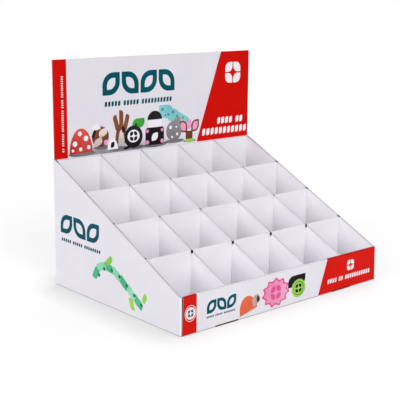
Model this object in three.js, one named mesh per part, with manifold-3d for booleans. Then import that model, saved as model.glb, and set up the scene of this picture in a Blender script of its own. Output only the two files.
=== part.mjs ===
// Counter display box of white corrugated board: a folded tray with sloping sides and double walls,
// a header card that stands on the rear wall, and a grid of slotted dividers that makes open cells.
// Millimetres, +Z up. The origin is the middle of the footprint, and the front wall faces -Y.

import * as THREE from 'three';
import { mergeVertices } from 'three/addons/utils/BufferGeometryUtils.js';
import Module from 'manifold-3d';

// Overall sizes
const width = 400;
const depth = 300;
const frontHeight = 54;
const rearHeight = 194;
const headerHeight = 148;

// Board and fit
const board = 1.5;
const clearance = 0.3;

// Double walls of the tray
const foldInside = 0.3;
const sideHollow = 1.2;
const rearRoom = 1.6;
const cornerInset = 2;
const cornerTaper = 2.2;
const rolloverEndGap = 0.9;
const frontFlap = 48;
const rearFlap = 62;
const cornerRelief = 4;

// Tabs that lock the inner front panel through the bottom crease
const lockTabLength = 42;
const lockTabInset = 82;
const lockNotchHeight = 2.2;

// Header card
const headerInset = 0.7;
const headerTabLength = 26;
const headerTabInset = 42;
const headerTabDepth = 18;

// Grid of dividers
const columns = 5;
const firstCross = 75.4;
const crossPitch = 71;
const layerGap = 0.4;
const hookDepth = 12;
const hookDrop = 2;
const hookSlack = 2.6;
// Free length of each crossing slot in front of the cross divider, from the front row backwards
const crossingSlack = [3.6, 1.4, 0.5];

// Steps in each rounded fold, and how far a cutting shape reaches past the face that it cuts
const foldSteps = 5;
const overcut = 1;
const gridPerMillimetre = 4096;

// Places that follow from the sizes
const foldRadius = board + foldInside;
const sideWall = 2 * board + sideHollow;
const frontWall = 3 * board + 2 * clearance;
const headerBack = depth / 2 - 2 * (board + clearance);
const headerFront = headerBack - board;
const rearInner = headerFront - rearRoom - board;
const frontInner = -depth / 2 + frontWall;
const frontFace = -depth / 2;
const rearFace = depth / 2;
const sideFront = frontFace + board + clearance;
const sideRear = rearFace - board - clearance;
const cellWidth = (width - 2 * sideWall) / columns;
const slope = (rearHeight - frontHeight) / (rearInner - frontInner);
const slopeStretch = Math.hypot(1, slope);
const dividerThickness = 2 * board + layerGap;

const whiteBoard = new THREE.MeshStandardMaterial({ color: 0xe6e4ea, roughness: 0.62, flatShading: true });
const headerBoard = new THREE.MeshStandardMaterial({ color: 0xe9e8ee, roughness: 0.5, flatShading: true });
const dividerBoard = new THREE.MeshStandardMaterial({ color: 0xe4e3e9, roughness: 0.66, flatShading: true });

const wasm = await Module();
wasm.setup();

// Corners lie on a fine grid, so that faces which share a plane share it exactly
function solidOf(geometry) {
  geometry.deleteAttribute('normal');
  geometry.deleteAttribute('uv');
  const merged = mergeVertices(geometry, 1 / gridPerMillimetre);
  const corners = merged.attributes.position.array;
  const vertProperties = Float32Array.from(corners, (value) => (
    Math.round(value * gridPerMillimetre) / gridPerMillimetre
  ));
  const triVerts = new Uint32Array(merged.index.array);
  return new wasm.Manifold(new wasm.Mesh({ numProp: 3, vertProperties, triVerts }));
}

function meshOf(name, solid, material) {
  const { vertProperties, triVerts } = solid.getMesh();
  const geometry = new THREE.BufferGeometry();
  geometry.setAttribute('position', new THREE.BufferAttribute(vertProperties, 3));
  geometry.setIndex(new THREE.BufferAttribute(triVerts, 1));
  geometry.computeVertexNormals();
  const mesh = new THREE.Mesh(geometry, material);
  mesh.name = name;
  return mesh;
}

// After each join or cut, faces that lie in one plane become one face again
function joined(solids) {
  return solids.reduce((whole, next) => whole.add(next).asOriginal());
}

function cutBy(solid, cutters) {
  return cutters.reduce((rest, cutter) => rest.subtract(cutter).asOriginal(), solid);
}

// A block between any two opposite corners
function block(a, b) {
  const size = a.map((value, i) => Math.abs(b[i] - value));
  const middle = a.map((value, i) => (b[i] + value) / 2);
  return solidOf(new THREE.BoxGeometry(...size).translate(...middle));
}

// An outline drawn in the plane square to an axis: YZ for x, XZ for y and XY for z
function prism(axis, outline, from, to) {
  const shape = new THREE.Shape(outline.map(([u, v]) => new THREE.Vector2(u, v)));
  const low = Math.min(from, to);
  const high = Math.max(from, to);
  const geometry = new THREE.ExtrudeGeometry(shape, { depth: high - low, bevelEnabled: false });
  const x = new THREE.Vector3(1, 0, 0);
  const y = new THREE.Vector3(0, 1, 0);
  const z = new THREE.Vector3(0, 0, 1);
  const place = new THREE.Matrix4();
  if (axis === 'x') {
    place.makeBasis(y, z, x).setPosition(low, 0, 0);
  } else if (axis === 'y') {
    place.makeBasis(x, z, y.negate()).setPosition(0, high, 0);
  } else {
    place.setPosition(0, 0, low);
  }
  return geometry.applyMatrix4(place);
}

// The outline of what is cut away to round a square edge. The inward signs point into the board.
function roundingOutline([u, v], [inU, inV], radius) {
  const outline = [
    [u - inU * overcut, v + inV * radius],
    [u - inU * overcut, v - inV * overcut],
    [u + inU * radius, v - inV * overcut],
  ];
  for (let step = 0; step <= foldSteps; step += 1) {
    const angle = (Math.PI / 2) * (step / foldSteps);
    const alongU = radius * (1 - Math.sin(angle));
    const alongV = radius * (1 - Math.cos(angle));
    outline.push([u + inU * alongU, v + inV * alongV]);
  }
  return outline;
}

function rounding(axis, corner, inward, radius, from, to) {
  return solidOf(prism(axis, roundingOutline(corner, inward, radius), from, to));
}

// Rounds an upper edge that follows a line of the wall's outline, level and sloping, in one cutter.
// The same section, upright at each point of the line, is joined from point to point.
function topRounding(x, inward, radius, line) {
  const section = roundingOutline([x, 0], [inward, -1], radius).map(([u, v]) => new THREE.Vector2(u, v));
  if (THREE.ShapeUtils.isClockWise(section)) {
    section.reverse();
  }
  const positions = line.flatMap(([y, z]) => section.flatMap((point) => [point.x, y, point.y + z]));
  const count = section.length;
  const last = (line.length - 1) * count;
  const index = [];
  for (let start = 0; start < last; start += count) {
    for (let i = 0; i < count; i += 1) {
      const next = (i + 1) % count;
      index.push(start + i, start + count + next, start + next);
      index.push(start + i, start + count + i, start + count + next);
    }
  }
  THREE.ShapeUtils.triangulateShape(section, []).forEach(([a, b, c]) => {
    index.push(a, b, c);
    index.push(last + a, last + c, last + b);
  });
  const geometry = new THREE.BufferGeometry();
  geometry.setAttribute('position', new THREE.Float32BufferAttribute(positions, 3));
  geometry.setIndex(index);
  return solidOf(geometry);
}

function topAt(y) {
  return frontHeight + slope * (y - frontInner);
}

// The top of a side wall from front to rear, or a line that lies deeper by the same board thickness
function topLine(yStart, yEnd, inset) {
  const shift = (inset * (slopeStretch - 1)) / slope;
  return [
    [yStart, frontHeight - inset],
    [frontInner + shift, frontHeight - inset],
    [rearInner + shift, rearHeight - inset],
    [yEnd, rearHeight - inset],
  ];
}

function wallOutline(yStart, yEnd, zBottom, inset) {
  return [[yEnd, zBottom], [yStart, zBottom], ...topLine(yStart, yEnd, inset)];
}

function crossPlaces() {
  return crossingSlack.map((slack, row) => ({ y: frontFace + firstCross + crossPitch * row, slack }));
}

function dividerPlaces() {
  return Array.from({ length: columns - 1 }, (_, i) => -width / 2 + sideWall + cellWidth * (i + 1));
}

function crossTop(y) {
  return topAt(y - board / 2);
}

// Height at which the slots of a longitudinal and a cross divider meet
function lapHeight(y) {
  return (board + crossTop(y)) / 2;
}

// A side wall goes up, over the sloping edge and down inside. A flap at each end turns behind the
// front and rear panels. The inner panel stops just short of the base.
function sideWallPiece(side) {
  const outer = (side * width) / 2;
  const hollowOut = outer - side * board;
  const hollowIn = outer - side * (board + sideHollow);
  const inner = outer - side * sideWall;
  const past = inner - side * overcut;
  const innerEnd = rearInner - cornerRelief;

  const slab = solidOf(prism('x', wallOutline(sideFront, sideRear, 0, 0), outer, inner));
  const hollow = solidOf(prism(
    'x',
    wallOutline(sideFront + board, sideRear - board, board, board),
    hollowOut,
    hollowIn,
  ));
  const footSlit = block([hollowOut, sideFront, board], [past, sideRear, board + clearance]);
  const frontSlit = block(
    [hollowOut, sideFront - overcut, board],
    [past, sideFront + board + clearance, frontHeight - board],
  );
  const frontNotch = block(
    [hollowIn, sideFront - overcut, board],
    [past, sideFront + board + clearance, frontHeight + overcut],
  );
  const rearNotch = block([hollowOut, innerEnd, board], [past, sideRear + overcut, rearHeight + overcut]);
  const slots = crossPlaces().map(({ y }) => block(
    [hollowOut, y - board / 2 - clearance, crossTop(y) - hookDepth - clearance],
    [past, y + board / 2 + hookSlack, rearHeight + overcut],
  ));

  const line = topLine(sideFront - overcut, sideRear + overcut, 0);
  const wall = cutBy(slab, [
    hollow,
    footSlit,
    frontSlit,
    frontNotch,
    rearNotch,
    ...slots,
    topRounding(outer, -side, board, line),
    topRounding(inner, side, board, line),
  ]);

  const frontFlapPiece = block(
    [outer, sideFront, board + clearance],
    [outer - side * frontFlap, sideFront + board, frontHeight - board - clearance],
  );
  const rearFlapPiece = block(
    [outer, sideRear - board, board + clearance],
    [outer - side * rearFlap, sideRear, rearHeight - board - clearance],
  );
  return joined([wall, frontFlapPiece, rearFlapPiece]);
}

// What rounds the folds along the foot and the two upright corners of a side
function sideFolds(side) {
  const outer = (side * width) / 2;
  return [
    rounding('y', [outer, 0], [-side, 1], foldRadius, frontFace - overcut, rearFace + overcut),
    rounding('z', [outer, sideFront], [-side, 1], foldRadius, -overcut, rearHeight + overcut),
    rounding('z', [outer, sideRear], [-side, -1], foldRadius, -overcut, rearHeight + overcut),
  ];
}

// The front or rear wall: up outside, over the flaps and down inside to just above the base.
// The ends of the outside panel lean in, so the gap at each corner is wider at the top.
function endWallPiece(face, inner, height) {
  const inward = Math.sign(inner - face);
  const footHalf = width / 2 - cornerInset;
  const topHalf = footHalf - cornerTaper;
  const innerHalf = width / 2 - sideWall - rolloverEndGap;
  const outsideOutline = [[-footHalf, 0], [footHalf, 0], [topHalf, height], [-topHalf, height]];
  const outside = solidOf(prism('y', outsideOutline, face, face + inward * board));
  const top = block([-innerHalf, face, height - board], [innerHalf, inner, height]);
  const inside = block(
    [-innerHalf, inner - inward * board, board + clearance],
    [innerHalf, inner, height],
  );
  const foldSpan = [-width / 2, width / 2];
  return cutBy(joined([outside, top, inside]), [
    rounding('x', [face, height], [inward, -1], foldRadius, ...foldSpan),
    rounding('x', [inner, height], [-inward, -1], foldRadius, ...foldSpan),
  ]);
}

// Each lock tab of the inner front panel reaches through a slot that opens the bottom crease
function lockTabs() {
  return [-1, 1].map((side) => {
    const middle = side * (width / 2 - lockTabInset);
    const half = lockTabLength / 2;
    const slot = block(
      [middle - half - clearance, frontFace - overcut, -overcut],
      [middle + half + clearance, frontInner + clearance, lockNotchHeight],
    );
    const tab = block(
      [middle - half, frontInner - board, 0],
      [middle + half, frontInner, board + clearance + overcut],
    );
    return { slot, tab };
  });
}

function headerTabSpans(spare) {
  return [-1, 1].map((side) => {
    const middle = side * (width / 2 - headerTabInset);
    const half = headerTabLength / 2 + spare;
    return [middle - half, middle + half];
  });
}

function makeTray() {
  const outerHalf = width / 2 - cornerInset;
  const base = joined([
    block([-width / 2, sideFront, 0], [width / 2, sideRear, board]),
    block([-outerHalf, frontFace, 0], [outerHalf, rearFace, board]),
  ]);
  const frontWallPiece = endWallPiece(frontFace, frontInner, frontHeight);
  const rearWallPiece = endWallPiece(rearFace, rearInner, rearHeight);
  const headerSlots = headerTabSpans(clearance).map(([from, to]) => block(
    [from, headerFront - clearance, rearHeight - board - overcut],
    [to, headerBack + clearance, rearHeight + overcut],
  ));
  const locks = lockTabs();
  const body = joined([base, frontWallPiece, rearWallPiece, sideWallPiece(-1), sideWallPiece(1)]);
  const folds = [
    rounding('x', [frontFace, 0], [1, 1], foldRadius, -width / 2, width / 2),
    rounding('x', [rearFace, 0], [-1, 1], foldRadius, -width / 2, width / 2),
    ...sideFolds(-1),
    ...sideFolds(1),
  ];
  const opened = cutBy(body, [...headerSlots, ...locks.map(({ slot }) => slot), ...folds]);
  return joined([opened, ...locks.map(({ tab }) => tab)]);
}

function makeHeaderCard() {
  const half = width / 2 - headerInset;
  const card = block([-half, headerFront, rearHeight], [half, headerBack, rearHeight + headerHeight]);
  const tabs = headerTabSpans(0).map(([from, to]) => block(
    [from, headerFront, rearHeight - headerTabDepth],
    [to, headerBack, rearHeight + overcut],
  ));
  return joined([card, ...tabs]);
}

// A longitudinal divider is one strip folded double along its sloping top, with slots cut from above
function makeLongitudinalDivider(x) {
  const front = frontInner + clearance;
  const rear = rearInner - clearance;
  const near = x - dividerThickness / 2;
  const far = x + dividerThickness / 2;
  const outline = [[rear, board], [front, board], [front, topAt(front)], [rear, topAt(rear)]];
  const underFold = board * slopeStretch;
  const gapFront = front - overcut;
  const gapRear = rear + overcut;
  const gapOutline = [
    [gapRear, board - overcut],
    [gapFront, board - overcut],
    [gapFront, topAt(gapFront) - underFold],
    [gapRear, topAt(gapRear) - underFold],
  ];
  const strip = solidOf(prism('x', outline, near, far));
  const gap = solidOf(prism('x', gapOutline, x - layerGap / 2, x + layerGap / 2));
  const slots = crossPlaces().map(({ y, slack }) => block(
    [near - overcut, y - board / 2 - slack, lapHeight(y) - clearance],
    [far + overcut, y + board / 2 + clearance, rearHeight + overcut],
  ));
  const line = [[gapFront, topAt(gapFront)], [gapRear, topAt(gapRear)]];
  return cutBy(strip, [
    gap,
    ...slots,
    topRounding(near, 1, board, line),
    topRounding(far, -1, board, line),
  ]);
}

// A cross divider is a single board with slots cut from below and a hook at each end
function makeCrossDivider(y) {
  const half = width / 2 - sideWall - clearance;
  const hookHalf = width / 2 - board - clearance;
  const front = y - board / 2;
  const rear = y + board / 2;
  const top = crossTop(y);
  const panel = block([-half, front, board], [half, rear, top]);
  const hooks = block([-hookHalf, front, top - hookDepth], [hookHalf, rear, top - hookDrop]);
  const slotHalf = dividerThickness / 2 + clearance;
  const slots = dividerPlaces().map((x) => block(
    [x - slotHalf, front - overcut, board - overcut],
    [x + slotHalf, rear + overcut, lapHeight(y) + clearance],
  ));
  return cutBy(joined([panel, hooks]), slots);
}

const displayBox = new THREE.Group();
displayBox.add(meshOf('tray', makeTray(), whiteBoard));
displayBox.add(meshOf('header_card', makeHeaderCard(), headerBoard));
dividerPlaces().forEach((x, i) => {
  displayBox.add(meshOf(`longitudinal_divider_${i + 1}`, makeLongitudinalDivider(x), dividerBoard));
});
crossPlaces().forEach(({ y }, i) => {
  displayBox.add(meshOf(`cross_divider_${i + 1}`, makeCrossDivider(y), dividerBoard));
});

export default displayBox;
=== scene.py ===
"""Looks of the counter display box: board, folds, cut edges and print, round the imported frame."""

import math

import bpy
from mathutils import Matrix, Vector


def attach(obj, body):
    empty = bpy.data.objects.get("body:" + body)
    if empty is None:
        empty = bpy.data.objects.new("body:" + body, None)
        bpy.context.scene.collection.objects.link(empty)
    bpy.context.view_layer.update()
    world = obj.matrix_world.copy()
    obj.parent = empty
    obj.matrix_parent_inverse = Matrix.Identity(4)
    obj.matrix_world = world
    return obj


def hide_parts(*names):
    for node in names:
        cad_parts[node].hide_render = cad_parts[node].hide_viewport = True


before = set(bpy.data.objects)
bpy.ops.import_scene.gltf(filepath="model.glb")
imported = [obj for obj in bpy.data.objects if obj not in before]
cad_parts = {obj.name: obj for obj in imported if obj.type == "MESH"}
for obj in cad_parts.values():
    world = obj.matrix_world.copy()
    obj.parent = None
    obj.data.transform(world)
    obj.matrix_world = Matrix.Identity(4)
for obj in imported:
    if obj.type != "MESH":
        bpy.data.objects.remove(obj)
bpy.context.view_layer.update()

# Sizes in millimetres, as in the CAD source
MM = 0.001
WIDTH = 400
DEPTH = 300
FRONT_HEIGHT = 54
REAR_HEIGHT = 194
HEADER_HEIGHT = 148
BOARD = 1.5
HEADER_FRONT = 144.9
HEADER_REAR = 146.4
HEADER_HALF = 199.3
SIDE_LAP = 148.2
SLOPE_FOOT = -144.9
SLOPE_HEAD = 141.8
SLOPE = (REAR_HEIGHT - FRONT_HEIGHT) / (SLOPE_HEAD - SLOPE_FOOT)
CROSS_PLACES = [-74.6, -3.6, 67.4]
LONGITUDINAL_PLACES = [-117.48, -39.16, 39.16, 117.48]

# Faces of the double walls, from the middle of the box, and how near counts as on a face
CELL_SIDE = 195.8
OUTER_PANEL_INSIDE = 198.5
TAB_FACE = 146.4
ON_FACE = 0.05

# The board's section, how wide the face of a cut edge is, and where a divider's two layers lie
FLUTE_PITCH = 3.3
LINER = 0.32
FLUTE_INSET = 0.4
FLUTE_HALF = 0.2
CUT_EDGE = (1.3, 1.7)
LAYER_OFFSET = 0.95

# Grain of the board: clouds in its tone, its sheen, paper fibre and the fuzz of a cut
CLOUD_GRAIN = 22
SHEEN_GRAIN = 160
FIBRE_GRAIN = 1400
FUZZ_GRAIN = 2400
FUZZ_DEPTH = 0.03

# A rolled edge gets a deeper painted shade where it faces further right than this
RIGHT_FACING_FROM = -0.45

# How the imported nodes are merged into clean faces, and how their folds are shaded
MERGE_REACH = 0.01
FLAT_ANGLE = 0.5
SMOOTH_ANGLE = 32

# Places on the tray painted with the near-black shade of a slot or a corner gap
CORNER_GAP = (195.2, 197.3)
REAR_SLIT = 133.5
HOOK_SLOT = (-1.05, 3.35)

# Lock tabs, and the strip along the foot that is painted darker as shade where the box meets the floor
LOCK_TAB_PLACE = 118
LOCK_TAB_HALF = 20.8
LOCK_TAB_REACH = 3.2
LOCK_NOTCH_TOP = 2
FOOT_LINE = 1.3

# How far the inner panels' ends are brought together at the rear corners
SIDE_PANEL_SHIFT = 3.7
REAR_PANEL_SHIFT = 1.8

# Slots of the dividers, from the front row backwards where there are three values
NOTCH_DEPTH = 5
CROSSING_SLACK = [3.6, 1.4, 0.5]
# How far down each crossing's front is painted with deep shade, from the front row backwards
DARK_NOTCHES = [5, 1.4, 0.8]
CROSSING_HALF = 2.2
CLOSE_FIT = 0.05
MOUTH_WEAR = 0.3

# Painted shade on the cell walls, deepening towards the cell floors, measured down from their tops
CELL_SHADE = (0.87, 0.86, 0.875, 1)
CELL_SHADE_FROM = 16
CELL_SHADE_FULL = 74

# The board face sits this far under the box face where ink sheets lie on it
INK_BED = 0.12
INK_STEP = 0.03
INK_GLOSS = 0.05
PICTURE_SHADE = (0.35, 0.3, 0.3, 1)

# Print fields, measured from the left end of their panel
STRIP = 27
HEADER_STRIP = 24
FRONT_RED_FOOT = 266
FRONT_RED_TOP = 284.7
HEADER_RED_FOOT = 280.5
HEADER_RED_TOP = 333.5

# The printed ground under the toy row, and the height of the row
GROUND_RISE = 22
GROUND_LEFT = (24, 60)
GROUND_RIGHT = (290, 110)
GROUND_MOST = 0.85
TOY_ROW_HEIGHT = 48

# How far a leaf's two round corners reach
LEAF_ROUNDING = 0.62


def deselect_everything():
    if bpy.context.object and bpy.context.object.mode != "OBJECT":
        bpy.ops.object.mode_set(mode="OBJECT")
    bpy.ops.object.select_all(action="DESELECT")


def take_up(piece):
    deselect_everything()
    piece.select_set(True)
    bpy.context.view_layer.objects.active = piece


def pick_faces(piece, wanted):
    """Leaves the piece in edit mode with the wanted faces selected."""
    take_up(piece)
    bpy.ops.object.mode_set(mode="EDIT")
    bpy.ops.mesh.select_mode(type="FACE")
    bpy.ops.mesh.select_all(action="DESELECT")
    bpy.ops.object.mode_set(mode="OBJECT")
    for face in piece.data.polygons:
        face.select = wanted(face.center / MM, face.normal)
    bpy.ops.object.mode_set(mode="EDIT")


def pick_points(piece, wanted):
    """Leaves the piece in edit mode with the wanted corners selected."""
    take_up(piece)
    bpy.ops.object.mode_set(mode="EDIT")
    bpy.ops.mesh.select_mode(type="VERT")
    bpy.ops.mesh.select_all(action="DESELECT")
    bpy.ops.object.mode_set(mode="OBJECT")
    for point in piece.data.vertices:
        point.select = wanted(point.co / MM)
    bpy.ops.object.mode_set(mode="EDIT")


def pick_everything():
    """Leaves the active piece in edit mode with all of it selected."""
    bpy.ops.object.mode_set(mode="EDIT")
    bpy.ops.mesh.select_all(action="SELECT")


def leave_edit():
    bpy.ops.object.mode_set(mode="OBJECT")


def cut_along(piece, wanted, point, normal):
    """Scores the wanted faces along a plane, so that a print field ends there."""
    pick_faces(piece, wanted)
    bpy.ops.mesh.bisect(plane_co=Vector(point) * MM, plane_no=normal)
    leave_edit()


def narrowness(piece, face):
    """The width in millimetres of a long narrow face."""
    corners = [piece.data.vertices[i].co for i in face.vertices]
    longest = max((a - b).length for a in corners for b in corners)
    return face.area / longest / MM


def board_copy(node, name):
    """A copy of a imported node, merged into clean flat faces, that the looks are worked on."""
    piece = bpy.data.objects.new(name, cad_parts[node].data.copy())
    bpy.context.scene.collection.objects.link(piece)
    piece.data.materials.clear()
    take_up(piece)
    pick_everything()
    bpy.ops.mesh.remove_doubles(threshold=MERGE_REACH * MM)
    bpy.ops.mesh.dissolve_limited(angle_limit=math.radians(FLAT_ANGLE))
    leave_edit()
    return piece


def lay_materials(piece, finishes, choose):
    """Gives each face the finish that choose names for its place, direction and narrowness."""
    for finish in finishes:
        piece.data.materials.append(finish)
    for face in piece.data.polygons:
        wanted = choose(face.center / MM, face.normal, narrowness(piece, face))
        face.material_index = finishes.index(wanted)


def fair_shading(piece):
    take_up(piece)
    bpy.ops.object.shade_smooth_by_angle(angle=math.radians(SMOOTH_ANGLE))
    bpy.ops.object.modifier_add(type="WEIGHTED_NORMAL")
    piece.modifiers[-1].keep_sharp = True
    bpy.ops.object.modifier_apply(modifier=piece.modifiers[-1].name)


def hand_over(piece, node):
    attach(piece, "root")
    if node:
        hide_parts(node)


# Finishes


def colour(red, green, blue):
    """An sRGB colour of 0 to 255 as the linear colour of a socket."""
    channels = []
    for value in (red, green, blue):
        share = value / 255
        linear = share / 12.92 if share <= 0.04045 else ((share + 0.055) / 1.055) ** 2.4
        channels.append(linear)
    return (*channels, 1)


def new_finish(name):
    finish = bpy.data.materials.new(name)
    finish.use_nodes = True
    return finish, finish.node_tree.nodes, finish.node_tree.links


def object_place(nodes):
    return nodes.new("ShaderNodeTexCoord").outputs["Object"]


def noise(nodes, links, place, scale, detail=2, roughness=0.5):
    node = nodes.new("ShaderNodeTexNoise")
    node.inputs["Scale"].default_value = scale
    node.inputs["Detail"].default_value = detail
    node.inputs["Roughness"].default_value = roughness
    links.new(place, node.inputs["Vector"])
    return node.outputs["Fac"]


def ramp(nodes, links, value, stops):
    node = nodes.new("ShaderNodeValToRGB")
    links.new(value, node.inputs["Fac"])
    elements = node.color_ramp.elements
    elements[0].position, elements[0].color = stops[0]
    elements[1].position, elements[1].color = stops[-1]
    for position, tone in stops[1:-1]:
        element = elements.new(position)
        element.color = tone
    return node.outputs["Color"]


def place_parts(nodes, links, place):
    """The X, Y and Z of a place."""
    node = nodes.new("ShaderNodeSeparateXYZ")
    links.new(place, node.inputs["Vector"])
    return node.outputs


def maths(nodes, links, operation, first, second=0):
    """A sum worked out by a node on numbers or on other nodes' results."""
    node = nodes.new("ShaderNodeMath")
    node.operation = operation
    for socket, value in zip(node.inputs, (first, second)):
        if isinstance(value, (int, float)):
            socket.default_value = value
        else:
            links.new(value, socket)
    return node.outputs["Value"]


def faded(nodes, links, value, none_at, full_at):
    """0 at one place in millimetres and 1 at another, with a soft start and end."""
    node = nodes.new("ShaderNodeMapRange")
    node.interpolation_type = "SMOOTHSTEP"
    node.inputs["From Min"].default_value = none_at * MM
    node.inputs["From Max"].default_value = full_at * MM
    links.new(value, node.inputs["Value"])
    return node.outputs["Result"]


def blended(nodes, links, under, over, share, way="MIX"):
    """One colour over another by a share. Each is a plain colour or comes from another node."""
    node = nodes.new("ShaderNodeMix")
    node.data_type = "RGBA"
    node.blend_type = way
    for letter, tone in (("A", under), ("B", over)):
        if isinstance(tone, tuple):
            node.inputs[letter].default_value = tone
        else:
            links.new(tone, node.inputs[letter])
    links.new(share, node.inputs["Factor"])
    return node.outputs["Result"]


def bump(nodes, links, height, depth, under=None):
    """Relief of a depth in millimetres, over another relief where one is given."""
    node = nodes.new("ShaderNodeBump")
    node.inputs["Strength"].default_value = 1
    node.inputs["Distance"].default_value = depth * MM
    links.new(height, node.inputs["Height"])
    if under is not None:
        links.new(under, node.inputs["Normal"])
    return node.outputs["Normal"]


def flute_wave(nodes, links, parts, axes):
    """Rises and falls once for each flute, along two axes taken together."""
    along = maths(nodes, links, "ADD", parts[axes[0]], parts[axes[1]])
    turns = maths(nodes, links, "MULTIPLY", along, 2 * math.pi / (FLUTE_PITCH * MM))
    return maths(nodes, links, "SINE", turns)


def board_relief(nodes, links, place, shader, ripple_depth, fibre_depth):
    """The faint washboard of the flutes in a liner, then paper fibre, as bump on the shader."""
    wave = flute_wave(nodes, links, place_parts(nodes, links, place), "XY")
    ripple = bump(nodes, links, wave, ripple_depth)
    fibre = noise(nodes, links, place, FIBRE_GRAIN, 3, 0.6)
    links.new(bump(nodes, links, fibre, fibre_depth, ripple), shader.inputs["Normal"])


def worked_on(finish):
    """A finish opened for more work: its nodes, links, shader, colour so far, and X, Y and Z."""
    nodes, links = finish.node_tree.nodes, finish.node_tree.links
    shader = nodes["Principled BSDF"]
    tone = shader.inputs["Base Color"].links[0].from_socket
    parts = place_parts(nodes, links, object_place(nodes))
    return nodes, links, shader, tone, parts


def coated_liner(name, dark, light, rough=(0.42, 0.6), ripple=0.012, fibre=0.01, gloss=0.18):
    """A liner or an ink film on it: cloudy between two sRGB colours, with fibre and flutes."""
    finish, nodes, links = new_finish(name)
    shader = nodes["Principled BSDF"]
    place = object_place(nodes)
    cloud = noise(nodes, links, place, CLOUD_GRAIN, 4, 0.55)
    stops = [(0.3, colour(*dark)), (0.7, colour(*light))]
    links.new(ramp(nodes, links, cloud, stops), shader.inputs["Base Color"])
    sheen = noise(nodes, links, place, SHEEN_GRAIN, 3)
    spread = nodes.new("ShaderNodeMapRange")
    spread.inputs["To Min"].default_value = rough[0]
    spread.inputs["To Max"].default_value = rough[1]
    links.new(sheen, spread.inputs["Value"])
    links.new(spread.outputs["Result"], shader.inputs["Roughness"])
    shader.inputs["Specular IOR Level"].default_value = gloss
    board_relief(nodes, links, place, shader, ripple, fibre)
    return finish


KRAFT = (colour(138, 122, 110), colour(206, 190, 172))
PALE_CORE = (colour(190, 185, 186), colour(222, 216, 214))
SHADED_CORE = (colour(84, 72, 70), colour(128, 114, 106))
PALE_LINER = colour(232, 229, 234)
SHADED_LINER = colour(176, 168, 170)


def cut_board(name, across_axis, middle, along_axes, layer_offset=0, core=KRAFT, liner=PALE_LINER):
    """A cut edge: two pale liners with the flute running to and fro between them."""
    half = BOARD / 2
    finish, nodes, links = new_finish(name)
    shader = nodes["Principled BSDF"]
    place = object_place(nodes)
    parts = place_parts(nodes, links, place)
    off = maths(nodes, links, "SUBTRACT", parts[across_axis], middle * MM)
    off = maths(nodes, links, "ABSOLUTE", off)
    off = maths(nodes, links, "SUBTRACT", off, layer_offset * MM)
    wave = flute_wave(nodes, links, parts, along_axes)
    flute = maths(nodes, links, "MULTIPLY", wave, (half - FLUTE_INSET) * MM)
    from_flute = maths(nodes, links, "ABSOLUTE", maths(nodes, links, "SUBTRACT", off, flute))
    on_flute = maths(nodes, links, "LESS_THAN", from_flute, FLUTE_HALF * MM)
    from_middle = maths(nodes, links, "ABSOLUTE", off)
    on_liner = maths(nodes, links, "GREATER_THAN", from_middle, (half - LINER) * MM)
    hollow = blended(nodes, links, core[0], core[1], on_flute)
    links.new(blended(nodes, links, hollow, liner, on_liner), shader.inputs["Base Color"])
    fuzz = noise(nodes, links, place, FUZZ_GRAIN, 3, 0.7)
    links.new(bump(nodes, links, fuzz, FUZZ_DEPTH), shader.inputs["Normal"])
    shader.inputs["Roughness"].default_value = 0.9
    shader.inputs["Specular IOR Level"].default_value = 0.15
    return finish


def header_board(name, dark, light):
    """The header's printed liner: a soft grey ground is printed under the row of toy shapes."""
    finish = coated_liner(name, dark, light)
    nodes, links, shader, liner_tone, parts = worked_on(finish)
    depth = faded(nodes, links, parts["Z"], REAR_HEIGHT + GROUND_RISE, REAR_HEIGHT)
    from_left = maths(nodes, links, "ADD", parts["X"], HEADER_HALF * MM)
    left_end = faded(nodes, links, from_left, *GROUND_LEFT)
    right_end = faded(nodes, links, from_left, *GROUND_RIGHT)
    ground = maths(nodes, links, "MULTIPLY", left_end, right_end)
    ground = maths(nodes, links, "MULTIPLY", ground, depth)
    cloud = noise(nodes, links, object_place(nodes), 60, 2)
    ground = maths(nodes, links, "MULTIPLY", ground, maths(nodes, links, "ADD", cloud, 0.35))
    ground = maths(nodes, links, "MINIMUM", ground, GROUND_MOST)
    shaded = blended(nodes, links, liner_tone, colour(92, 88, 94), ground)
    links.new(shaded, shader.inputs["Base Color"])
    return finish


def cell_board_with_painted_shade(name, dark, light):
    """The liner inside the cells, with painted shade that deepens a little towards their floor."""
    finish = coated_liner(name, dark, light)
    nodes, links, shader, liner_tone, parts = worked_on(finish)
    rise = maths(nodes, links, "MULTIPLY", parts["Y"], SLOPE)
    under_top = maths(nodes, links, "SUBTRACT", rise, parts["Z"])
    top_in_line = SLOPE * SLOPE_FOOT - FRONT_HEIGHT
    depth = faded(nodes, links, under_top, top_in_line + CELL_SHADE_FROM, top_in_line + CELL_SHADE_FULL)
    cloud = noise(nodes, links, object_place(nodes), 12, 2)
    depth = maths(nodes, links, "MULTIPLY", depth, maths(nodes, links, "ADD", cloud, 0.5))
    # Painted shade: the liner is multiplied towards grey with depth below the cell tops
    painted_depth_shade = blended(nodes, links, liner_tone, CELL_SHADE, depth, "MULTIPLY")
    links.new(painted_depth_shade, shader.inputs["Base Color"])
    return finish


def field_ink(name, dark, light):
    """The ink of a wide print field, printed on the board itself."""
    return coated_liner(name, dark, light, (0.45, 0.6), gloss=INK_GLOSS)


def deep_shade(name, dark, light):
    """Painted shade, near black or deep brown, for what lies deep in a slot, a corner gap or a notch."""
    finish, nodes, links = new_finish(name)
    shader = nodes["Principled BSDF"]
    place = object_place(nodes)
    grain = noise(nodes, links, place, 900, 2)
    stops = [(0.3, colour(*dark)), (0.7, colour(*light))]
    links.new(ramp(nodes, links, grain, stops), shader.inputs["Base Color"])
    shader.inputs["Roughness"].default_value = 0.95
    shader.inputs["Specular IOR Level"].default_value = 0.05
    return finish


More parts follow.
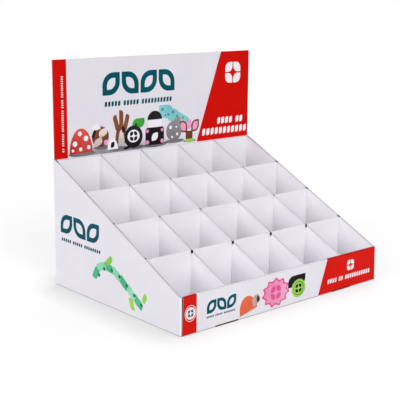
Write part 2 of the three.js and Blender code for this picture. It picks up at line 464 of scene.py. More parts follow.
white_liner = coated_liner("white_liner", (229, 226, 235), (233, 230, 238))
# Rolled edge tops take a darker copy of the white liner: painted shade
rolled_liner_painted_shade = coated_liner("rolled_liner_painted_shade", (199, 195, 204), (206, 202, 211), fibre=0.016)
# The crown and right-facing half of rolled edges: a still darker copy of the liner, painted shade
crease_shade_liner = coated_liner("crease_shade_liner", (156, 152, 160), (168, 164, 172), fibre=0.016)
# The cells' liner carries painted shade, darker with depth below the tops
cell_liner_painted_shade = cell_board_with_painted_shade("cell_liner_painted_shade", (229, 227, 233), (233, 231, 236))
# A dark strip along the outside foot: painted shade where the box meets the floor
foot_painted_shade = coated_liner("foot_painted_shade", (138, 134, 139), (156, 152, 156), fibre=0.016)
# A darker red for the red field's rolled top and foot strip: painted shade
red_fold_shade_ink = field_ink("red_fold_shade_ink", (160, 14, 8), (172, 18, 11))
front_red_ink = field_ink("front_red_ink", (212, 22, 14), (217, 27, 18))
header_red_ink = field_ink("header_red_ink", (202, 9, 2), (209, 13, 5))
header_liner = header_board("header_liner", (223, 220, 229), (227, 224, 232))
front_middle = -DEPTH / 2 + BOARD / 2
front_cut = cut_board("cut_edge_front_panel", "Y", front_middle, "XZ", 0, SHADED_CORE, SHADED_LINER)
header_middle = (HEADER_FRONT + HEADER_REAR) / 2
header_cut = cut_board("cut_edge_header", "Y", header_middle, "XZ")
# Near-black painted shade for slots, corner gaps, crossings and hooks
slot_shade = deep_shade("slot_shade", (13, 11, 11), (27, 23, 22))
# The lock tabs' kraft brown, darkened with painted shade for the notch they stand in
lock_tab_kraft_and_shade = deep_shade("lock_tab_kraft_and_shade", (76, 40, 34), (104, 62, 52))


def front_print(place, normal):
    """The front wall's outside with its rolled top edge."""
    if abs(place.x) > CELL_SIDE + 0.2 and place.y > -SIDE_LAP - 0.1:
        return False
    outside = place.y < -DEPTH / 2 + 0.2
    return place.y < -TAB_FACE + 0.1 and normal.y < 0.2 and (normal.z > 0.05 or outside)


def in_front_red(place):
    from_left = place.x + WIDTH / 2
    height = place.z
    slanted = FRONT_RED_FOOT + (FRONT_RED_TOP - FRONT_RED_FOOT) * height / FRONT_HEIGHT
    return from_left < STRIP or from_left > slanted


def in_header_red(place):
    from_left = place.x + HEADER_HALF
    height = place.z - REAR_HEIGHT
    slanted = HEADER_RED_FOOT + (HEADER_RED_TOP - HEADER_RED_FOOT) * height / HEADER_HEIGHT
    return from_left < HEADER_STRIP or from_left > slanted


def slanting_normal(foot, top, height):
    """The direction square to a print field's slanting edge."""
    edge = Vector((top - foot, 0, height)).normalized()
    return Vector((edge.z, 0, -edge.x))


def press_in_print_beds(tray):
    """Sets the front and left faces back by the thickness of the ink that lies on them."""
    pick_points(tray, lambda place: place.y < -DEPTH / 2 + 0.01)
    bpy.ops.transform.translate(value=(0, INK_BED * MM, 0))
    leave_edit()
    pick_points(tray, lambda place: place.x < -WIDTH / 2 + 0.01)
    bpy.ops.transform.translate(value=(INK_BED * MM, 0, 0))
    leave_edit()


def hook_places():
    """Where each cross divider's hook goes into the side walls: its slot's front and rear end."""
    return [(place + HOOK_SLOT[0], place + HOOK_SLOT[1]) for place in CROSS_PLACES]


def near_outside(place, depth):
    """No deeper than this under the outside of the four walls."""
    return abs(place.x) > WIDTH / 2 - depth or abs(place.y) > DEPTH / 2 - depth


def on_side_wall(place):
    return abs(place.x) > CELL_SIDE - 0.8


def top_at(y):
    return FRONT_HEIGHT + SLOPE * (min(max(y, SLOPE_FOOT), SLOPE_HEAD) - SLOPE_FOOT)


def score_dark_places(tray):
    """Scores the faces painted with the shade seen through slots and corner gaps, where the painted shade
    ends.
    """

    def outer_panel_inside(place, normal):
        return abs(abs(place.x) - OUTER_PANEL_INSIDE) < ON_FACE and abs(normal.x) > 0.9

    for front_end, rear_end in hook_places():
        cut_along(tray, outer_panel_inside, (0, front_end, 0), (0, 1, 0))
        cut_along(tray, outer_panel_inside, (0, rear_end, 0), (0, 1, 0))

    def corner_flap(place, normal):
        return abs(place.y + SIDE_LAP) < ON_FACE and normal.y < -0.9

    def rear_inside(place, normal):
        return abs(place.y - SLOPE_HEAD) < ON_FACE and normal.y < -0.9

    for side in (-1, 1):
        for reach in CORNER_GAP:
            cut_along(tray, corner_flap, (side * reach, 0, 0), (1, 0, 0))
        cut_along(tray, rear_inside, (side * (CELL_SIDE + 0.1), 0, 0), (1, 0, 0))


def score_feet(tray):
    """Scores the outside just over the floor, the lock tabs, and the wall tops at the rear slits."""

    def outside(place, normal):
        return abs(normal.z) < 0.5 and near_outside(place, 1)

    def wall_top(place, normal):
        return normal.z > 0.1 and on_side_wall(place) and place.z > FRONT_HEIGHT + 2

    def tab_side(place, normal):
        return abs(place.y + TAB_FACE) < ON_FACE and normal.y < -0.9

    cut_along(tray, tab_side, (0, 0, LOCK_NOTCH_TOP), (0, 0, 1))
    for side in (-1, 1):
        for reach in (-LOCK_TAB_HALF, LOCK_TAB_HALF):
            cut_along(tray, tab_side, (side * LOCK_TAB_PLACE + reach, 0, 0), (1, 0, 0))

    def tab_face(place, normal):
        near = abs(abs(place.x) - LOCK_TAB_PLACE) < LOCK_TAB_HALF
        return near and place.z < LOCK_NOTCH_TOP and tab_side(place, normal)

    pick_faces(tray, tab_face)
    forward = {"value": (0, -LOCK_TAB_REACH * MM, 0)}
    bpy.ops.mesh.extrude_region_move(TRANSFORM_OT_translate=forward)
    leave_edit()
    cut_along(tray, outside, (0, 0, FOOT_LINE), (0, 0, 1))
    cut_along(tray, wall_top, (0, REAR_SLIT, 0), (0, 1, 0))


def at_foot(place, normal):
    return place.z < FOOT_LINE and normal.z < 0.5 and near_outside(place, 2)


def in_lock_notch(place):
    """The lock tabs and the notches of the bottom crease that they stand in."""
    near = abs(abs(place.x) - LOCK_TAB_PLACE) < LOCK_TAB_HALF + 0.7
    behind_front = -DEPTH / 2 + 0.2 < place.y < -TAB_FACE + 1.4
    return near and place.z < LOCK_NOTCH_TOP + 0.3 and behind_front


def close_rear_corner(tray):
    """Brings the inner panels of the side walls and of the rear wall up to each other."""
    side_panel_end = SLOPE_HEAD - 4

    def rear_end(place):
        at_end = abs(place.y - side_panel_end) < ON_FACE
        return at_end and on_side_wall(place) and abs(place.x) < OUTER_PANEL_INSIDE + 0.1

    pick_points(tray, rear_end)
    bpy.ops.transform.translate(value=(0, SIDE_PANEL_SHIFT * MM, 0))
    leave_edit()
    for side in (-1, 1):

        def rear_panel_end(place):
            at_end = CELL_SIDE - 1 < side * place.x < CELL_SIDE - ON_FACE
            return at_end and SLOPE_HEAD - 0.1 < place.y < SLOPE_HEAD + BOARD + 0.1

        pick_points(tray, rear_panel_end)
        bpy.ops.transform.translate(value=(side * REAR_PANEL_SHIFT * MM, 0, 0))
        leave_edit()


def in_corner_gap(place, normal):
    """Parts of the front corner flaps and of the rear wall that show through the corner gaps, painted as
    deep shade.
    """
    near_end = CORNER_GAP[0] < abs(place.x) < CORNER_GAP[1]
    if abs(place.y + SIDE_LAP) < 2 * ON_FACE and normal.y < -0.9 and near_end:
        return True
    behind_wall = abs(place.y - SLOPE_HEAD) < 2 * ON_FACE and normal.y < -0.9
    return behind_wall and abs(place.x) > CELL_SIDE + 0.1


def in_rear_slit(place, normal):
    """The left wall's top beside the header, painted near black as shade."""
    on_left_top = place.x < -CELL_SIDE + 0.8 and normal.z > 0.1 and normal.x > RIGHT_FACING_FROM
    below_header = abs(place.x) < WIDTH / 2 - 0.6 and place.z < REAR_HEIGHT + 0.5
    return on_left_top and place.y > REAR_SLIT and below_header


def in_hook_slot(place, normal):
    """The sides of the slots that the cross dividers' hooks go into, painted as deep shade."""
    if abs(normal.z) > 0.1 or not CELL_SIDE - 0.1 < abs(place.x) < OUTER_PANEL_INSIDE + ON_FACE:
        return False
    if abs(normal.y) < 0.5 and abs(place.x) < OUTER_PANEL_INSIDE - 0.2:
        return False
    return any(front - ON_FACE < place.y < rear + ON_FACE for front, rear in hook_places())


def shows_dark(place, normal):
    """Places of the tray painted with the deep shade of a slot or a corner gap."""
    return in_corner_gap(place, normal) or in_rear_slit(place, normal) or in_hook_slot(place, normal)


def in_a_cell(place, normal):
    """Faces that look into the cells, the tray floor with them."""
    facing_in = normal.x * place.x < -0.5 or normal.y * place.y < -0.5 or normal.z > 0.9
    between_walls = abs(place.x) < CELL_SIDE + 0.2 and abs(place.y) < HEADER_FRONT + 0.3
    return facing_in and between_walls and place.z < top_at(place.y) + 1


def cut_edge(width):
    """A face as wide as the board is thick."""
    return CUT_EDGE[0] < width < CUT_EDGE[1]


def rolled(normal, width):
    """A narrow face of a rolled top edge."""
    return normal.z > 0.1 and width < CUT_EDGE[0]


def creased(normal, width):
    """The crown and right half of a rolled edge from front to rear, painted with a deeper shade."""
    return rolled(normal, width) and normal.x > RIGHT_FACING_FROM


def make_tray():
    tray = board_copy("tray", "tray_board")
    close_rear_corner(tray)
    score_dark_places(tray)
    score_feet(tray)
    cut_along(tray, front_print, (-WIDTH / 2 + STRIP, 0, 0), (1, 0, 0))
    slant = slanting_normal(FRONT_RED_FOOT, FRONT_RED_TOP, FRONT_HEIGHT)
    cut_along(tray, front_print, (-WIDTH / 2 + FRONT_RED_FOOT, 0, 0), slant)

    def finish_of(place, normal, width):
        if shows_dark(place, normal):
            return slot_shade
        if in_lock_notch(place):
            return lock_tab_kraft_and_shade
        if front_print(place, normal) and in_front_red(place):
            # The red's rolled top and its foot strip take the darker red of painted shade
            folded = place.z < FOOT_LINE or normal.z > 0.3
            return red_fold_shade_ink if folded else front_red_ink
        if at_foot(place, normal):
            return foot_painted_shade
        if cut_edge(width):
            return front_cut
        if on_side_wall(place) and abs(place.y) < SIDE_LAP and creased(normal, width):
            return crease_shade_liner
        if rolled(normal, width):
            return rolled_liner_painted_shade
        return cell_liner_painted_shade if in_a_cell(place, normal) else white_liner

    press_in_print_beds(tray)
    liners = [white_liner, cell_liner_painted_shade, rolled_liner_painted_shade, crease_shade_liner, foot_painted_shade]
    finishes = liners + [front_red_ink, red_fold_shade_ink, front_cut, lock_tab_kraft_and_shade, slot_shade]
    lay_materials(tray, finishes, finish_of)
    fair_shading(tray)
    hand_over(tray, "tray")


def make_header():
    header = board_copy("header_card", "header_card_board")

    def header_print(place, normal):
        return normal.y < -0.9 and place.z > REAR_HEIGHT

    cut_along(header, lambda place, normal: normal.y < -0.9, (0, 0, REAR_HEIGHT + 0.01), (0, 0, 1))
    cut_along(header, header_print, (-HEADER_HALF + HEADER_STRIP, 0, 0), (1, 0, 0))
    slant = slanting_normal(HEADER_RED_FOOT, HEADER_RED_TOP, HEADER_HEIGHT)
    cut_along(header, header_print, (-HEADER_HALF + HEADER_RED_FOOT, 0, REAR_HEIGHT), slant)

    def finish_of(place, normal, width):
        if header_print(place, normal):
            return header_red_ink if in_header_red(place) else header_liner
        if cut_edge(width):
            return header_cut
        return white_liner

    lay_materials(header, [white_liner, header_liner, header_red_ink, header_cut], finish_of)
    fair_shading(header)
    hand_over(header, "header_card")


def narrow_the_slots(divider):
    """Keeps each slot wide at its mouth only, and close to the cross divider below it."""
    for middle, slack in zip(CROSS_PLACES, CROSSING_SLACK):
        front_edge = middle - BOARD / 2 - slack
        mouth = top_at(front_edge) - NOTCH_DEPTH
        cut_along(divider, lambda place, normal: True, (0, front_edge, mouth), (0, -SLOPE, 1))

        def slot_front(point):
            return abs(point.y - front_edge) < ON_FACE and point.z < mouth + ON_FACE

        pick_points(divider, slot_front)
        bpy.ops.transform.translate(value=(0, (slack - CLOSE_FIT) * MM, 0))
        leave_edit()

        def mouth_front(point):
            return abs(point.y - front_edge) < ON_FACE and point.z > mouth + ON_FACE

        widening = slack * MOUTH_WEAR
        pick_points(divider, mouth_front)
        bpy.ops.transform.translate(value=(0, -widening * MM, -widening * SLOPE * MM))
        leave_edit()


def in_slot_mouth(place, normal):
    """The floor and ends of the wide part of a slot, painted as deep shade."""
    if abs(normal.x) > 0.5 or place.z > top_at(place.y) - 1:
        return False
    for middle, slack in zip(CROSS_PLACES, CROSSING_SLACK):
        if middle - BOARD / 2 - slack * (1 + MOUTH_WEAR) - 0.1 < place.y < middle + BOARD:
            return True
    return False


def make_longitudinal_divider(node, middle):
    divider = board_copy(node, node + "_board")
    narrow_the_slots(divider)
    ends = cut_board(node + "_cut_edge", "X", middle, "YZ", LAYER_OFFSET, PALE_CORE)

    def finish_of(place, normal, width):
        if in_slot_mouth(place, normal):
            return slot_shade
        if cut_edge(width):
            return ends
        if creased(normal, width):
            return crease_shade_liner
        if rolled(normal, width):
            return rolled_liner_painted_shade
        return cell_liner_painted_shade

    lay_materials(divider, [cell_liner_painted_shade, rolled_liner_painted_shade, crease_shade_liner, ends, slot_shade], finish_of)
    fair_shading(divider)
    hand_over(divider, node)


def make_cross_divider(node, middle, notch):
    """A cross divider. What is seen of it through a slot's mouth, and its hooks' ends, are painted as deep
    shade.
    """
    divider = board_copy(node, node + "_board")
    top = top_at(middle)

    def front_side(place, normal):
        return normal.y < -0.9

    cut_along(divider, front_side, (0, 0, top - notch), (0, 0, 1))
    for place_x in LONGITUDINAL_PLACES:
        for reach in (-CROSSING_HALF, CROSSING_HALF):
            cut_along(divider, front_side, (place_x + reach, 0, 0), (1, 0, 0))
    ends = cut_board(node + "_cut_edge", "Y", middle, "XZ", core=PALE_CORE)

    def finish_of(place, normal, width):
        at_crossing = min(abs(place.x - place_x) for place_x in LONGITUDINAL_PLACES) < CROSSING_HALF
        if normal.y < -0.9 and at_crossing and place.z > top - notch:
            return slot_shade
        if abs(place.x) > CELL_SIDE:
            return slot_shade
        if cut_edge(width):
            return ends
        return cell_liner_painted_shade

    lay_materials(divider, [cell_liner_painted_shade, ends, slot_shade], finish_of)
    fair_shading(divider)
    hand_over(divider, node)


# Print, drawn flat in millimetres from the left end and foot of its panel, then stood up on it

# The foot of each panel's left end, its turn, the way it faces and its material slot
PANELS = {
    "header": ((-HEADER_HALF, HEADER_FRONT, REAR_HEIGHT), (90, 0, 0), (0, -1, 0), "header_board"),
    "front": ((-WIDTH / 2, -DEPTH / 2 + INK_BED, 0), (90, 0, 0), (0, -1, 0), "tray_board"),
    "side": ((-WIDTH / 2 + INK_BED, SIDE_LAP, 0), (90, 0, -90), (-1, 0, 0), "tray_board"),
}


def put_down(shape, across, up, turn=0):
    """Moves a flat shape to its place in the artwork."""
    shape.location = (across * MM, up * MM, 0)
    shape.rotation_euler.z = math.radians(turn)
    take_up(shape)
    bpy.ops.object.transform_apply(location=True, rotation=True, scale=True)
    return shape


def rectangle(wide, high):
    """A plain rectangle about the origin, left in edit mode."""
    deselect_everything()
    bpy.ops.mesh.primitive_plane_add(size=1)
    bpy.ops.object.mode_set(mode="EDIT")
    bpy.ops.transform.resize(value=(wide * MM, high * MM, 1))
    return bpy.context.object


def block(wide, high, corner=0.12):
    """A rectangle with softened corners."""
    shape = rectangle(wide, high)
    bpy.ops.mesh.bevel(offset=corner * min(wide, high) * MM, segments=4, affect="VERTICES")
    leave_edit()
    return shape


def leaf(wide, high, falling=False):
    """A rectangle with two opposite corners rounded far in, like a plain leaf."""
    shape = rectangle(wide, high)
    leave_edit()
    pick_points(shape, lambda place: (place.x * place.y > 0) == falling)
    bpy.ops.mesh.bevel(offset=LEAF_ROUNDING * min(wide, high) * MM, segments=9, affect="VERTICES")
    leave_edit()
    return shape


def disc(radius, squash=1, segments=40):
    """A round spot, or an oval one."""
    deselect_everything()
    bpy.ops.mesh.primitive_circle_add(vertices=segments, radius=radius * MM, fill_type="NGON")
    shape = bpy.context.object
    bpy.ops.object.mode_set(mode="EDIT")
    bpy.ops.transform.resize(value=(1, squash, 1))
    leave_edit()
    return shape


def dome(radius, rise):
    """A half disc on a straight foot, its foot on the line it is put down at."""
    shape = disc(radius, rise / radius, 48)
    take_up(shape)
    pick_everything()
    bpy.ops.mesh.bisect(plane_co=(0, 0, 0), plane_no=(0, 1, 0), clear_inner=True)
    leave_edit()
    return shape


def blossom(petals, outer, inner, squash=1):
    """A round with rounded petals about it."""
    shape = disc(inner, 1, petals * 2)

    def on_petal(place):
        return round(math.atan2(place.x, place.y) / (math.pi / petals)) % 2 == 0

    pick_points(shape, on_petal)
    reach = outer / inner
    bpy.ops.transform.resize(value=(reach, reach, 1), center_override=(0, 0, 0))
    bpy.ops.mesh.select_all(action="SELECT")
    bpy.ops.mesh.bevel(offset_type="PERCENT", offset_pct=38, segments=4, affect="VERTICES")
    bpy.ops.mesh.select_all(action="SELECT")
    bpy.ops.transform.resize(value=(1, squash, 1))
    leave_edit()
    return shape


def hollowed(shape, stroke):
    """Leaves a band of the given stroke along the outline."""
    take_up(shape)
    bpy.ops.object.mode_set(mode="EDIT")
    bpy.ops.mesh.select_mode(type="FACE")
    bpy.ops.mesh.select_all(action="SELECT")
    bpy.ops.mesh.inset(thickness=stroke * MM, use_boundary=True)
    bpy.ops.mesh.delete(type="FACE")
    leave_edit()
    return shape


def leaf_row(across, up, wide, high, pitch, groups, turn=0):
    """Small leaves in a line, in groups with a space between, one leaf modelled and repeated."""
    rows = []
    start = 0
    for count in groups:
        row = leaf(wide, high)
        bpy.ops.object.modifier_add(type="ARRAY")
        repeat = row.modifiers[-1]
        repeat.count = count
        repeat.use_relative_offset = False
        repeat.use_constant_offset = True
        repeat.constant_offset_displace = (pitch * MM, 0, 0)
        bpy.ops.object.modifier_apply(modifier=repeat.name)
        rows.append(put_down(row, start + wide / 2, 0))
        start += pitch * (count + 0.7)
    return put_down(joined(rows), across, up, turn)


def joined(shapes):
    deselect_everything()
    for shape in shapes:
        shape.select_set(True)
    bpy.context.view_layer.objects.active = shapes[0]
    if len(shapes) > 1:
        bpy.ops.object.join()
    return bpy.context.object


def leaf_band(across, up, wide, high, gap, count, stroke):
    """Large hollow leaves side by side, every other one leaning the other way."""
    leaves = []
    for number in range(count):
        shape = hollowed(leaf(wide, high, number % 2 == 1), stroke)
        leaves.append(put_down(shape, across + wide / 2 + number * (wide + gap), up))
    return joined(leaves)


def rosette(across, up, size, gap):
    """Four leaves about a point."""
    leaves = []
    reach = (size + gap) / 2
    for side, level in ((1, 1), (-1, 1), (-1, -1), (1, -1)):
        shape = leaf(size, size, side * level > 0)
        leaves.append(put_down(shape, across + side * reach, up + level * reach))
    return joined(leaves)


def lay_ink(name, panel, layer, ink, shapes):
    """Gives a drawing the thickness of its ink and lays it on its panel."""
    sheet = joined(shapes)
    sheet.name = name
    sheet.data.name = name
    pick_everything()
    bpy.ops.mesh.normals_make_consistent(inside=False)
    leave_edit()
    if sheet.data.polygons[0].normal.z < 0:
        bpy.ops.object.mode_set(mode="EDIT")
        bpy.ops.mesh.flip_normals()
        leave_edit()
    bpy.ops.object.modifier_add(type="SOLIDIFY")
    film = sheet.modifiers[-1]
    film.thickness = INK_STEP * 0.8 * MM
    film.offset = -1
    bpy.ops.object.modifier_apply(modifier=film.name)
    place, turn, outward, slot = PANELS[panel]
    sheet.location = Vector(place) * MM
    sheet.rotation_euler = [math.radians(angle) for angle in turn]
    bpy.ops.object.transform_apply(location=True, rotation=True, scale=True)
    pick_everything()
    bpy.ops.transform.translate(value=Vector(outward) * (layer * INK_STEP * MM))
    leave_edit()
    sheet.data.materials.clear()
    sheet.data.materials.append(ink)
    hand_over(sheet, None)


def ink(name, dark, light):
    return coated_liner(name, dark, light, (0.4, 0.55), ripple=0.01, fibre=0.006, gloss=INK_GLOSS)


def toy_ink(name, dark, light):
    """An ink printed as a picture of a solid thing: darker towards its foot, and mottled."""
    finish = ink(name, dark, light)
    nodes, links, shader, flat_tone, parts = worked_on(finish)
    low = faded(nodes, links, parts["Z"], REAR_HEIGHT + TOY_ROW_HEIGHT, REAR_HEIGHT)
    mottle = noise(nodes, links, object_place(nodes), 230, 3)
    depth = maths(nodes, links, "MULTIPLY", low, maths(nodes, links, "ADD", mottle, 0.1))
    shaded = blended(nodes, links, flat_tone, PICTURE_SHADE, depth, "MULTIPLY")
    links.new(shaded, shader.inputs["Base Color"])
    return finish


teal_ink = ink("teal_ink", (0, 76, 89), (0, 85, 98))
white_ink = ink("white_ink", (236, 233, 238), (241, 238, 243))
black_ink = toy_ink("black_ink", (24, 22, 26), (40, 38, 42))
brown_ink = toy_ink("brown_ink", (112, 62, 38), (146, 88, 56))
cream_ink = toy_ink("cream_ink", (232, 214, 206), (240, 228, 222))
coral_ink = toy_ink("coral_ink", (214, 52, 44), (232, 96, 86))
green_ink = toy_ink("green_ink", (40, 134, 40), (70, 168, 62))
lime_ink = ink("lime_ink", (126, 192, 68), (164, 214, 92))
mint_ink = ink("mint_ink", (128, 206, 168), (164, 224, 192))
dark_jade_ink = ink("dark_jade_ink", (24, 104, 82), (44, 126, 98))
jade_ink = ink("jade_ink", (64, 172, 124), (96, 192, 146))
pale_teal_ink = toy_ink("pale_teal_ink", (108, 186, 190), (148, 210, 212))
deep_teal_ink = toy_ink("deep_teal_ink", (52, 128, 140), (78, 152, 160))
soot_ink = ink("soot_ink", (92, 88, 94), (128, 124, 130))
grey_ink = toy_ink("grey_ink", (122, 120, 124), (160, 158, 162))
pink_ink = ink("pink_ink", (232, 130, 178), (242, 168, 204))
rose_ink = ink("rose_ink", (222, 74, 132), (232, 104, 154))
orange_ink = ink("orange_ink", (222, 92, 58), (236, 122, 86))


def print_header():
    band = [leaf_band(89, 107, 33, 35, 3.7, 4, 8.5)]
    lay_ink("header_leaf_band", "header", 1, teal_ink, band)
    small = [leaf_row(93, 76, 4.4, 8, 6.3, [5, 5, 10])]
    lay_ink("header_small_leaves", "header", 1, teal_ink, small)
    red_field = [
        rosette(361.5, 112, 16.5, 2),
        leaf_row(327, 31.5, 6.8, 11, 9.1, [4, 2]),
        leaf_row(293, 14.5, 6.8, 11.5, 9.5, [11]),
    ]
    lay_ink("header_white_leaves", "header", 1, white_ink, red_field)
    strip = [leaf_row(16, 10, 1.8, 3.6, 3.3, [2, 6, 10, 4, 10], 90)]
    lay_ink("header_strip_leaves", "header", 1, white_ink, strip)
    print_toy_row()


def spots(places, squash=1):
    """Round spots, each given by its place across and up and its radius."""
    return [put_down(disc(radius, squash, 20), across, up) for across, up, radius in places]


def print_toy_row():
    """Plain building shapes and leaves standing in a row along the foot of the header."""
    feet = [(50, 4, 25), (90, 10, 20), (121, 5, 20), (149, 4, 21), (192, 4, 24), (232, 6, 21), (265, 3, 14)]
    lay_ink("toy_ground_shade", "header", 1, soot_ink, spots(feet, 0.16))

    lay_ink("toy_dome", "header", 3, coral_ink, [put_down(dome(21, 38), 48, 5)])
    brown = [
        put_down(disc(16), 84, 27),
        put_down(dome(12, 33), 124, 12),
        put_down(block(15, 14, 0.2), 264, 13),
        put_down(leaf(17, 20, True), 251, 28),
        put_down(leaf(17, 20), 277, 28),
    ]
    lay_ink("toy_brown_shapes", "header", 2, brown_ink, brown)
    upright = [
        put_down(leaf(8, 24), 114, 46, 16),
        put_down(leaf(8, 26, True), 124, 52),
        put_down(leaf(8, 24, True), 134, 46, -16),
    ]
    lay_ink("toy_upright_leaves", "header", 1, brown_ink, upright)

    teal = [
        put_down(leaf(30, 22, True), 215, 56),
        put_down(leaf(36, 11, True), 248, 44, -28),
    ]
    lay_ink("toy_teal_leaves", "header", 1, pale_teal_ink, teal)
    lay_ink("toy_teal_block", "header", 2, pale_teal_ink, [put_down(disc(13, 0.8), 229, 49)])
    flecks = [(207, 60, 2.6), (219, 51, 2.2), (229, 54, 2.4), (238, 47, 2), (250, 43, 1.8), (213, 50, 1.6)]
    lay_ink("toy_teal_flecks", "header", 3, deep_teal_ink, spots(flecks))

    lay_ink("toy_grey_ball", "header", 3, grey_ink, [put_down(disc(16.5), 231, 23)])
    lay_ink("toy_grey_tuft", "header", 4, grey_ink, [put_down(leaf(13, 11), 238, 40)])
    lay_ink("toy_leaf", "header", 2, green_ink, [put_down(leaf(24, 15), 158, 42)])
    black = [
        put_down(disc(18), 148, 21),
        put_down(block(38, 29, 0.2), 191, 18.5),
        put_down(dome(15, 14), 191, 45),
    ]
    lay_ink("toy_black_shapes", "header", 3, black_ink, black)

    white = [
        put_down(disc(12, 0.85), 148, 22),
        put_down(block(29, 11, 0.2), 191, 38),
        put_down(leaf(13, 13), 191, 17),
        put_down(dome(10, 17), 107, 5),
        put_down(leaf(15, 9, True), 76, 42, 14),
        *spots([(37, 20, 4.2), (57, 27, 4.2), (46, 35, 3.6), (62, 13, 3.2), (47, 11, 3), (33, 10, 2.4)]),
        *spots([(224, 29, 3), (238, 17, 2.4), (227, 13, 2), (236, 29, 1.8)]),
    ]
    lay_ink("toy_white_shapes", "header", 4, white_ink, white)
    cream = [
        put_down(leaf(17, 11), 89, 33, 20),
        put_down(leaf(16, 11), 80, 19, 20),
        put_down(dome(6, 22), 124, 12),
    ]
    lay_ink("toy_cream_shapes", "header", 4, cream_ink, cream)
    pink = [
        put_down(leaf(11, 14, True), 251, 28),
        put_down(leaf(11, 14), 277, 28),
        put_down(leaf(9, 16), 264, 31),
        put_down(leaf(8, 6), 94, 18, 20),
        *spots([(176, 9, 3.4), (206, 9, 3.4), (176, 27, 2.8), (206, 27, 2.8)]),
    ]
    lay_ink("toy_pink_leaves", "header", 4, pink_ink, pink)
    dark = [
        rosette(148, 22, 6.5, 1.6),
        put_down(leaf(13, 5), 72, 32, 62),
        put_down(leaf(7, 9), 107, 12),
        put_down(leaf(6, 10, True), 128, 34),
        *spots([(153, 40, 2)]),
    ]
    lay_ink("toy_dark_marks", "header", 5, black_ink, dark)
    lay_ink("toy_lime_foot", "header", 4, lime_ink, [put_down(block(20, 5, 0.3), 265, 4)])


def print_front():
    lay_ink("front_leaf_band", "front", 1, teal_ink, [leaf_band(45, 31, 17, 18, 1.3, 3, 4.4)])
    lay_ink("front_small_leaves", "front", 1, teal_ink, [leaf_row(45, 17.2, 2, 2.8, 2.7, [5, 5, 8])])
    white = [
        put_down(disc(8.4), 16.5, 29.5),
        put_down(hollowed(disc(10.1, 1.12), 0.8), 16.5, 29.5),
        rosette(338.5, 35.5, 7.4, 1.2),
        leaf_row(287, 18, 3.8, 7, 5.4, [4, 2, 11]),
    ]
    lay_ink("front_white_leaves", "front", 1, white_ink, white)
    lay_ink("front_disc_leaves", "front", 2, soot_ink, [rosette(16.5, 29.5, 4.4, 1)])
    lay_ink("front_orange_fan", "front", 1, orange_ink, [put_down(dome(17, 24), 123, 8, 14)])
    lay_ink("front_cream_leaf", "front", 2, cream_ink, [put_down(leaf(13, 15), 136, 22, 14)])
    lay_ink("front_brown_leaf", "front", 3, brown_ink, [put_down(leaf(6, 9), 141, 23, 14)])
    lay_ink("front_blossom_edge", "front", 1, rose_ink, [put_down(blossom(11, 30, 22, 0.78), 176, 25)])
    lay_ink("front_blossom", "front", 2, pink_ink, [put_down(blossom(11, 26, 18.5, 0.78), 176, 25)])
    lay_ink("front_blossom_heart", "front", 3, rose_ink, [rosette(176, 25, 9, 2)])
    lay_ink("front_dark_leaf", "front", 1, black_ink, [put_down(leaf(36, 17), 219, 34)])
    lay_ink("front_lime_ball", "front", 2, lime_ink, [put_down(disc(14.5, 0.95), 223, 22)])
    marks = [rosette(223, 22, 5.5, 1.6), put_down(hollowed(disc(10.5), 0.8), 223, 22)]
    lay_ink("front_dark_marks", "front", 3, black_ink, marks)


def print_side():
    lay_ink("side_leaf_band", "side", 1, teal_ink, [leaf_band(17, 101, 31, 29, 3.2, 3, 7)])
    lay_ink("side_small_leaves", "side", 1, teal_ink, [leaf_row(19, 76, 3.9, 5.2, 5.2, [5, 5, 8])])
    stem = [
        (108, 44, 62),
        (121, 56, 24),
        (139, 58, -8),
        (157, 53, -28),
        (174, 44, -34),
        (191, 34, -36),
        (207, 24, -32),
    ]
    body = [put_down(leaf(22, 12, True), across, up, turn) for across, up, turn in stem[::2]]
    lay_ink("side_sprig_jade", "side", 1, jade_ink, body)
    body = [put_down(leaf(22, 12, True), across, up, turn) for across, up, turn in stem[1::2]]
    lay_ink("side_sprig_mint", "side", 2, mint_ink, body)
    joints = spots([(across + 7, up - 2, 3) for across, up, turn in stem], 0.9)
    lay_ink("side_sprig_joints", "side", 3, dark_jade_ink, joints)
    tips = [
        put_down(leaf(18, 9), 140, 68, 40),
        put_down(leaf(18, 9), 192, 18, -70),
        put_down(leaf(14, 8), 221, 33, 60),
    ]
    lay_ink("side_sprig_lime", "side", 3, lime_ink, tips)


# Stage, camera and light

FLOOR_SIZE = 40
FLOOR_DROP = 0.0003
FLOOR_THROWN = (0.4, 0.4, 0.4, 1)
FLOOR_WHITE = 1.02
# The share of the floor's tone that is its own white
FLOOR_GLOW = 0.6
CONTACT_REACH = 0.06
CONTACT_LEAN = (0.55, -0.4, 0.733)
CONTACT_STOPS = [(0.3, (0.29, 0.27, 0.29, 1)), (0.95, (0.83, 0.82, 0.835, 1))]


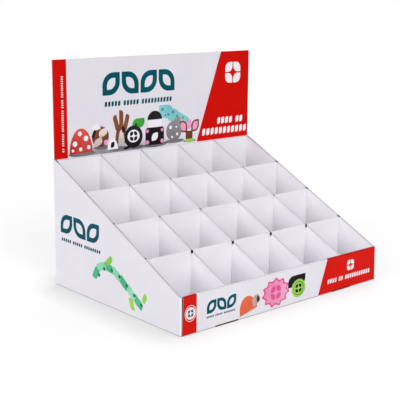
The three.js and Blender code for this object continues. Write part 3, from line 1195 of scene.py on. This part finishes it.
def make_floor():
    """A white floor: seen directly it is mostly its own white, and it throws back a pale light."""
    deselect_everything()
    bpy.ops.mesh.primitive_plane_add(size=FLOOR_SIZE, location=(0, 0, -FLOOR_DROP))
    floor = bpy.context.object
    floor.name = "floor"
    finish, nodes, links = new_finish("pale_floor")
    thrown = nodes["Principled BSDF"]
    thrown.inputs["Base Color"].default_value = FLOOR_THROWN
    thrown.inputs["Roughness"].default_value = 0.9
    thrown.inputs["Specular IOR Level"].default_value = 0
    shaded = nodes.new("ShaderNodeBsdfDiffuse")
    links.new(contact_shade(nodes, links), shaded.inputs["Color"])
    glow = nodes.new("ShaderNodeEmission")
    glow.inputs["Color"].default_value = (1, 1, 1, 1)
    glow.inputs["Strength"].default_value = FLOOR_WHITE
    white = nodes.new("ShaderNodeMixShader")
    white.inputs["Fac"].default_value = FLOOR_GLOW
    links.new(shaded.outputs["BSDF"], white.inputs[1])
    links.new(glow.outputs["Emission"], white.inputs[2])
    blend = nodes.new("ShaderNodeMixShader")
    links.new(light_seen_directly(nodes, links), blend.inputs["Fac"])
    links.new(thrown.outputs["BSDF"], blend.inputs[1])
    links.new(white.outputs["Shader"], blend.inputs[2])
    links.new(blend.outputs["Shader"], nodes["Material Output"].inputs["Surface"])
    floor.data.materials.append(finish)


def contact_shade(nodes, links):
    """Painted contact shadow: the floor's tone deepens close to what stands on it, most of all to its left.
    """
    closeness = nodes.new("ShaderNodeAmbientOcclusion")
    closeness.inputs["Distance"].default_value = CONTACT_REACH
    closeness.samples = 16
    leaning = nodes.new("ShaderNodeCombineXYZ")
    for socket, value in zip(leaning.inputs, CONTACT_LEAN):
        socket.default_value = value
    links.new(leaning.outputs["Vector"], closeness.inputs["Normal"])
    return ramp(nodes, links, closeness.outputs["AO"], CONTACT_STOPS)


def light_seen_directly(nodes, links):
    """1 for the camera, in reflections and through clear things, 0 for the light on the object."""
    path = nodes.new("ShaderNodeLightPath")
    total = maths(nodes, links, "ADD", path.outputs["Is Camera Ray"], path.outputs["Is Glossy Ray"])
    total = maths(nodes, links, "ADD", total, path.outputs["Is Transmission Ray"])
    return maths(nodes, links, "MINIMUM", total, 1)


SKY = 0.5
# Name, strength, softness, azimuth and elevation of each lamp
LAMPS = [
    ("front_key", 1.85, 40, -15, 36),
    ("left_side", 1.3, 36, -88, 27),
    ("right_rear", 0.85, 42, 125, 45),
]


def make_world():
    """An even soft sky, and a white backdrop wherever the camera looks past the box."""
    world = bpy.data.worlds.new("studio")
    bpy.context.scene.world = world
    world.use_nodes = True
    nodes, links = world.node_tree.nodes, world.node_tree.links
    fill = nodes["Background"]
    fill.inputs["Color"].default_value = (1, 1, 1, 1)
    fill.inputs["Strength"].default_value = SKY
    backdrop = nodes.new("ShaderNodeBackground")
    backdrop.inputs["Color"].default_value = (1, 1, 1, 1)
    backdrop.inputs["Strength"].default_value = 1
    blend = nodes.new("ShaderNodeMixShader")
    links.new(light_seen_directly(nodes, links), blend.inputs["Fac"])
    links.new(fill.outputs["Background"], blend.inputs[1])
    links.new(backdrop.outputs["Background"], blend.inputs[2])
    links.new(blend.outputs["Shader"], nodes["World Output"].inputs["Surface"])


def make_lamp(name, strength, softness, azimuth, elevation):
    data = bpy.data.lights.new(name, type="SUN")
    data.energy = strength
    data.angle = math.radians(softness)
    lamp = bpy.data.objects.new(name, data)
    turn = Matrix.Rotation(math.radians(azimuth), 3, "Z")
    tilt = Matrix.Rotation(math.radians(90 - elevation), 3, "X")
    lamp.rotation_euler = (turn @ tilt).to_euler()
    bpy.context.scene.collection.objects.link(lamp)


CAMERA_PLACE = (-0.9573, -1.0462, 0.4470)
CAMERA_TURN = -41.33
CAMERA_DOWN = 12.61
CAMERA_ROLL = 0.53
CAMERA_LENS = 85.55


def make_camera():
    data = bpy.data.cameras.new("camera")
    data.sensor_width = 36
    data.lens = CAMERA_LENS
    camera = bpy.data.objects.new("camera", data)
    turn = Matrix.Rotation(math.radians(CAMERA_TURN), 4, "Z")
    tilt = Matrix.Rotation(math.radians(90 - CAMERA_DOWN), 4, "X")
    roll = Matrix.Rotation(math.radians(CAMERA_ROLL), 4, "Z")
    camera.matrix_world = Matrix.Translation(CAMERA_PLACE) @ turn @ tilt @ roll
    bpy.context.scene.collection.objects.link(camera)
    bpy.context.scene.camera = camera


make_camera()
make_world()
for lamp in LAMPS:
    make_lamp(*lamp)
make_floor()
make_tray()
make_header()
for number, middle in enumerate(LONGITUDINAL_PLACES):
    make_longitudinal_divider(f"longitudinal_divider_{number + 1}", middle)
for number, middle in enumerate(CROSS_PLACES):
    make_cross_divider(f"cross_divider_{number + 1}", middle, DARK_NOTCHES[number])
print_header()
print_front()
print_side()
bpy.context.scene.view_settings.view_transform = "Standard"
